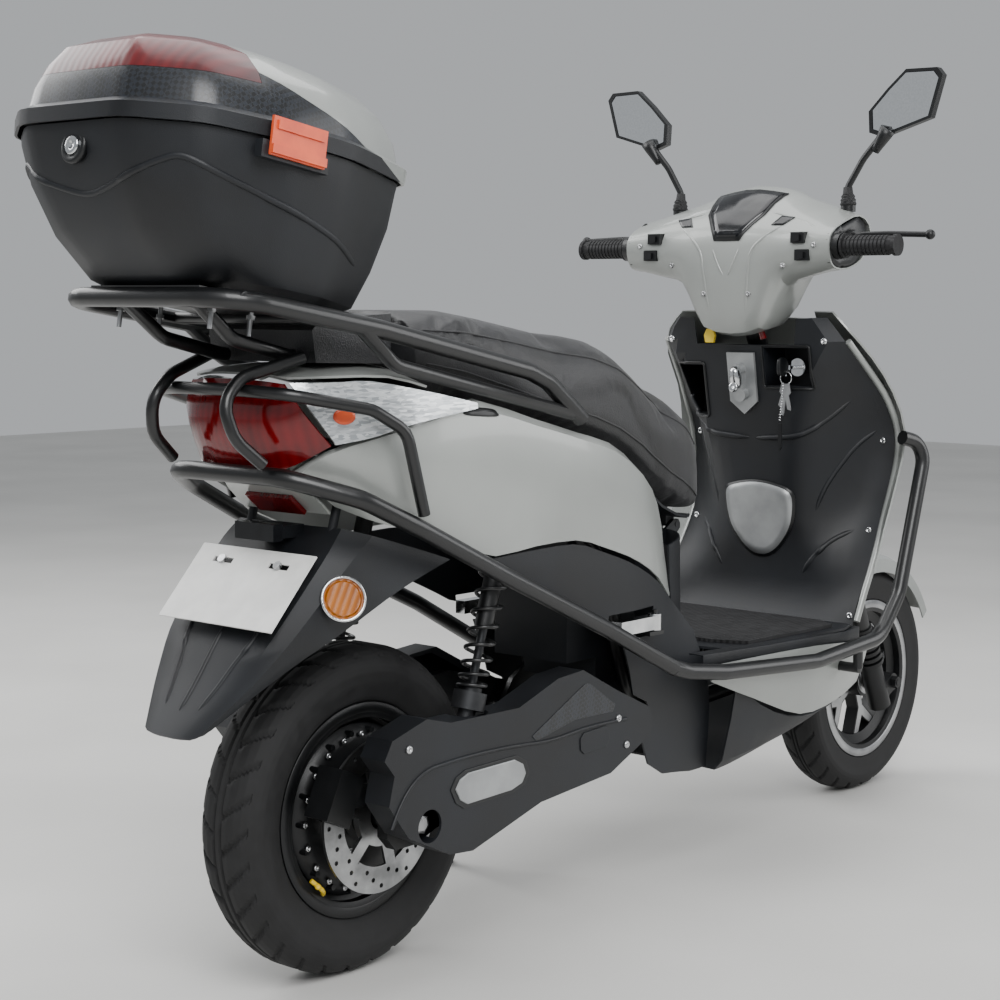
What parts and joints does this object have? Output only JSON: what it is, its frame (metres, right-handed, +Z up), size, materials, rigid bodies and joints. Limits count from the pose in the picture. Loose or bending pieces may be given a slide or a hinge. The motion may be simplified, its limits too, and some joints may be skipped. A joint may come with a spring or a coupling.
{
  "type": "moped scooter",
  "caption": "Electric step-through scooter with hub-motor rear wheel, tube luggage rack, hinged top case, sprung swingarm and fork, folding pegs and stand.",
  "frame": {"origin": "centre of the bounding box footprint on the ground, where the tyres and the side stand rest", "axes": "+X forwards, +Y to the rider's left, +Z up; both wheels spin about Y"},
  "size_m": [1.9664, 0.698, 1.269],
  "materials": {
    "body_paint": "grey gloss paint on moulded plastic",
    "black_plastic": "grained black moulding",
    "floor_rubber": "ribbed rubber mat",
    "lamp_glass": "clear moulded lens",
    "red_lens": "red moulded lens",
    "clear_lens": "clear ribbed lens",
    "amber_lens": "amber reflector",
    "plate_white": "blank white plate",
    "chrome": "polished plating",
    "silver_paint": "silver paint",
    "steel": "machined steel",
    "frame_paint": "satin black powder coat",
    "alloy_black": "black painted cast alloy",
    "vinyl": "black vinyl seat cover",
    "tyre": "black rubber tread",
    "grip_rubber": "ribbed rubber",
    "latch_orange": "orange plastic",
    "zinc": "zinc plated"
  },
  "bodies": {
    "chassis": {"frame": "frame_paint", "battery_box": "black_plastic", "floor_panel": "black_plastic", "floor_mat": "floor_rubber", "floor_fairings": "body_paint", "belly_pan": "black_plastic", "leg_shield": "black_plastic", "front_cowl": "body_paint", "headlamp": "lamp_glass", "hook_plate": "silver_paint", "side_panel_left": "body_paint", "side_panel_right": "body_paint", "skirts": "black_plastic", "front_panel": "black_plastic", "tail_cover": "body_paint", "tail_lens": "red_lens", "clear_lenses": "clear_lens", "mudguard": "black_plastic", "number_plate": "plate_white", "reflectors": "amber_lens", "tail_bolster": "vinyl", "rack": "frame_paint", "crash_bar": "frame_paint", "guard_bars": "frame_paint", "case_shell": "black_plastic", "fasteners": "zinc"},
    "steering": {"steering_stem": "frame_paint", "handlebar": "frame_paint", "headset_cover": "body_paint", "switch_pods": "black_plastic", "left_grip": "grip_rubber"},
    "fork": {"fork_lowers": "alloy_black", "front_fender": "body_paint"},
    "front_wheel": {"front_tyre": "tyre", "front_rim": "alloy_black"},
    "arm": {"swingarm": "alloy_black", "arm_covers": "black_plastic", "rear_caliper": "alloy_black"},
    "rear_wheel": {"rear_tyre": "tyre", "hub_motor": "alloy_black", "rear_disc": "steel"},
    "shock_upper": {"shock_bodies": "frame_paint", "shock_springs": "frame_paint"},
    "shock_lower": {"shock_rods": "steel"},
    "seat": {"seat_cushion": "vinyl", "seat_pan": "black_plastic"},
    "lid": {"case_lid": "black_plastic", "lid_cap": "body_paint", "lid_lens": "red_lens"},
    "latch_left": {"latch_left": "latch_orange"},
    "latch_right": {"latch_right": "latch_orange"},
    "throttle": {"throttle_grip": "grip_rubber"},
    "lever_left": {"brake_lever_left": "alloy_black"},
    "lever_right": {"brake_lever_right": "alloy_black"},
    "mirror_left": {"mirror_left": "black_plastic"},
    "mirror_right": {"mirror_right": "black_plastic"},
    "peg_left": {"foot_peg_left": "chrome"},
    "peg_right": {"foot_peg_right": "chrome"},
    "stand": {"side_stand": "frame_paint"},
    "key_lock": {"ignition_lock": "chrome"}
  },
  "joints": [
    {"name": "steering", "type": "hinge", "parent": "chassis", "child": "steering", "pos_m": [0.73623, 0, 0.208], "axis": [-0.4226, 0, 0.9063], "range_deg": [-35, 35]},
    {"name": "fork_slide", "type": "slide", "parent": "steering", "child": "fork", "axis": [-0.4226, 0, 0.9063], "range_m": [0, 0.06], "stiffness_N_per_m": 12000, "springref_m": -0.05},
    {"name": "front_wheel_spin", "type": "hinge", "parent": "fork", "child": "front_wheel", "pos_m": [0.77523, 0, 0.208], "axis": [0, 1, 0], "continuous": true},
    {"name": "swingarm_pivot", "type": "hinge", "parent": "chassis", "child": "arm", "pos_m": [-0.09477, 0, 0.275], "axis": [0, 1, 0], "range_deg": [0, 6], "stiffness_Nm_per_rad": 1500, "springref_deg": -17.19, "deforming": ["shock_springs"]},
    {"name": "rear_wheel_spin", "type": "hinge", "parent": "arm", "child": "rear_wheel", "pos_m": [-0.54977, 0, 0.222], "axis": [0, 1, 0], "continuous": true},
    {"name": "shock_top", "type": "hinge", "parent": "chassis", "child": "shock_upper", "pos_m": [-0.36577, 0, 0.606], "axis": [0, 1, 0], "range_deg": [0, 1.2]},
    {"name": "shock_bottom", "type": "hinge", "parent": "arm", "child": "shock_lower", "pos_m": [-0.44977, 0, 0.33], "axis": [0, 1, 0], "range_deg": [-6, 0]},
    {"name": "seat_hinge", "type": "hinge", "parent": "chassis", "child": "seat", "pos_m": [0.16623, 0, 0.546], "axis": [0, 1, 0], "range_deg": [0, 50]},
    {"name": "lid_hinge", "type": "hinge", "parent": "chassis", "child": "lid", "pos_m": [-0.57569, 0, 1.03488], "axis": [0, 1, 0], "range_deg": [0, 70]},
    {"name": "latch_left_turn", "type": "hinge", "parent": "chassis", "child": "latch_left", "pos_m": [-0.82475, 0.21, 1.05408], "axis": [0.9877, 0, -0.1564], "range_deg": [-50, 0]},
    {"name": "latch_right_turn", "type": "hinge", "parent": "chassis", "child": "latch_right", "pos_m": [-0.82475, -0.21, 1.05408], "axis": [0.9877, 0, -0.1564], "range_deg": [0, 50]},
    {"name": "throttle_turn", "type": "hinge", "parent": "steering", "child": "throttle", "pos_m": [0.3625, 0, 0.98815], "axis": [0, 1, 0], "range_deg": [0, 70], "stiffness_Nm_per_rad": 0.3},
    {"name": "brake_left", "type": "hinge", "parent": "steering", "child": "lever_left", "pos_m": [0.39513, 0.207, 1.00337], "axis": [-0.4226, 0, 0.9063], "range_deg": [0, 8], "stiffness_Nm_per_rad": 2},
    {"name": "brake_right", "type": "hinge", "parent": "steering", "child": "lever_right", "pos_m": [0.39513, -0.207, 1.00337], "axis": [0.4226, 0, -0.9063], "range_deg": [0, 8], "stiffness_Nm_per_rad": 2},
    {"name": "mirror_left_turn", "type": "hinge", "parent": "steering", "child": "mirror_left", "pos_m": [0.45023, 0.168, 1.046], "axis": [0, 0, 1], "range_deg": [-30, 30]},
    {"name": "mirror_right_turn", "type": "hinge", "parent": "steering", "child": "mirror_right", "pos_m": [0.45023, -0.168, 1.046], "axis": [0, 0, 1], "range_deg": [-30, 30]},
    {"name": "peg_left_fold", "type": "hinge", "parent": "chassis", "child": "peg_left", "pos_m": [-0.04977, 0.152, 0.408], "axis": [0, 0, -1], "range_deg": [0, 90]},
    {"name": "peg_right_fold", "type": "hinge", "parent": "chassis", "child": "peg_right", "pos_m": [-0.04977, -0.152, 0.408], "axis": [0, 0, 1], "range_deg": [0, 90]},
    {"name": "stand_fold", "type": "hinge", "parent": "chassis", "child": "stand", "pos_m": [-0.10977, 0.128, 0.192], "axis": [0, 1, 0], "range_deg": [0, 65]},
    {"name": "key_turn", "type": "hinge", "parent": "chassis", "child": "key_lock", "pos_m": [0.44723, -0.08, 0.79], "axis": [1, 0, 0], "range_deg": [0, 90]}
  ],
  "couplings": [
    {"joint": "shock_top", "follows": "swingarm_pivot", "ratio": 0.12765},
    {"joint": "shock_bottom", "follows": "swingarm_pivot", "ratio": -0.87235}
  ]
}
